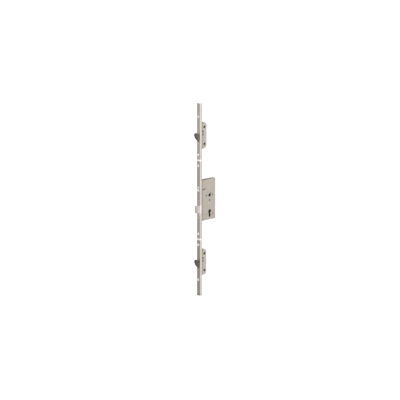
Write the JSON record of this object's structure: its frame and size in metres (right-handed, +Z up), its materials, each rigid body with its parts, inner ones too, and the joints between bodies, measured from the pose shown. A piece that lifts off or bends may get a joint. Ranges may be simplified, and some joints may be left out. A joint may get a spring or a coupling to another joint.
{
  "type": "multipoint door lock",
  "caption": "Mortise multipoint door lock: slim U-channel forend with a main case, roller latch, deadbolt and hook boxes whose hooks swing out together.",
  "frame": {"origin": "on the centre line of the forend's front face, level with the follower's axis", "axes": "+X into the door away from the forend's face, so the bolts are thrown towards -X; +Y across the door's thickness to the tray side of the cases; +Z up along the forend"},
  "size_m": [0.1176, 0.02, 0.8496],
  "materials": {
    "forend": "fine brushed stainless steel, slightly worn at the bends",
    "case_plate": "satin nickel-plated sheet steel",
    "hook_steel": "dark hardened steel with ground flanks",
    "bolt_nickel": "nickel-plated bolt, fine ground",
    "coupling_white": "white glass-filled nylon",
    "guide_black": "black nylon",
    "zinc_steel": "zinc-plated strip steel",
    "bright_screw": "bright zinc-plated screw",
    "dark_screw": "black oxide screw",
    "roller_white": "white polyamide roller",
    "spring_wire": "spring steel wire",
    "follower_zinc": "sintered zinc alloy hub",
    "rivet_steel": "plated rivet heads"
  },
  "bodies": {
    "lock_frame": {"forend_upper": "forend", "forend_middle": "forend", "forend_lower": "forend", "upper_coupling": "coupling_white", "lower_coupling": "coupling_white", "coupling_screws": "bright_screw", "forend_screws": "bright_screw", "cylinder_screw": "bright_screw", "rod_guides": "guide_black", "upper_box_tray": "case_plate", "upper_box_cover": "case_plate", "upper_box_screws": "dark_screw", "upper_hook_pin": "dark_screw", "lower_box_tray": "case_plate", "lower_box_cover": "case_plate", "lower_box_screws": "dark_screw", "lower_hook_pin": "dark_screw", "case_tray": "case_plate", "case_cover": "case_plate", "case_rivets": "rivet_steel", "fixing_blocks": "zinc_steel", "bolt_rails": "zinc_steel", "deadbolt_guide": "bolt_nickel", "spring_seat": "zinc_steel", "latch_spring": "spring_wire", "lever_pin": "rivet_steel"},
    "drive": {"drive_plate": "zinc_steel", "upper_rod": "zinc_steel", "lower_rod": "zinc_steel", "top_rod": "zinc_steel", "bottom_rod": "zinc_steel", "upper_rack": "zinc_steel", "lower_rack": "zinc_steel", "rod_rivets": "rivet_steel"},
    "upper_hook": {"upper_hook": "hook_steel"},
    "lower_hook": {"lower_hook": "hook_steel"},
    "deadbolt": {"deadbolt": "bolt_nickel", "deadbolt_pin": "dark_screw"},
    "follower": {"follower": "follower_zinc"},
    "locking_lever": {"locking_lever": "zinc_steel"},
    "latch": {"latch_fork": "zinc_steel", "roller_pin": "rivet_steel", "latch_clip": "spring_wire"},
    "latch_roller": {"latch_roller": "roller_white"}
  },
  "joints": [
    {"name": "drive_slide", "type": "slide", "parent": "lock_frame", "child": "drive", "axis": [0, 0, -1], "range_m": [0, 0.011]},
    {"name": "upper_hook_swing", "type": "hinge", "parent": "lock_frame", "child": "upper_hook", "pos_m": [0.021, 0, 0.2844], "axis": [0, -1, 0], "range_deg": [0, 52.57]},
    {"name": "lower_hook_swing", "type": "hinge", "parent": "lock_frame", "child": "lower_hook", "pos_m": [0.021, 0, -0.2751], "axis": [0, -1, 0], "range_deg": [0, 52.57]},
    {"name": "deadbolt_slide", "type": "slide", "parent": "lock_frame", "child": "deadbolt", "axis": [1, 0, 0], "range_m": [0, 0.01801]},
    {"name": "follower_turn", "type": "hinge", "parent": "lock_frame", "child": "follower", "pos_m": [0.06, 0, 0], "axis": [0, 1, 0], "range_deg": [0, 52.57]},
    {"name": "locking_lever_swing", "type": "hinge", "parent": "lock_frame", "child": "locking_lever", "pos_m": [0.056, 0, -0.036], "axis": [0, 1, 0], "range_deg": [0, 8]},
    {"name": "latch_slide", "type": "slide", "parent": "lock_frame", "child": "latch", "axis": [1, 0, 0], "range_m": [0, 0.007], "stiffness_N_per_m": 600, "springref_m": -0.008, "deforming": ["latch_spring"]},
    {"name": "roller_spin", "type": "hinge", "parent": "latch", "child": "latch_roller", "pos_m": [-0.001, 0, 0.0292], "axis": [0, 0, 1], "continuous": true}
  ],
  "couplings": [
    {"joint": "upper_hook_swing", "follows": "drive_slide", "rad_per_m": 83.333},
    {"joint": "lower_hook_swing", "follows": "drive_slide", "rad_per_m": 83.333},
    {"joint": "follower_turn", "follows": "drive_slide", "rad_per_m": 83.333},
    {"joint": "deadbolt_slide", "follows": "drive_slide", "ratio": 1.6364}
  ]
}
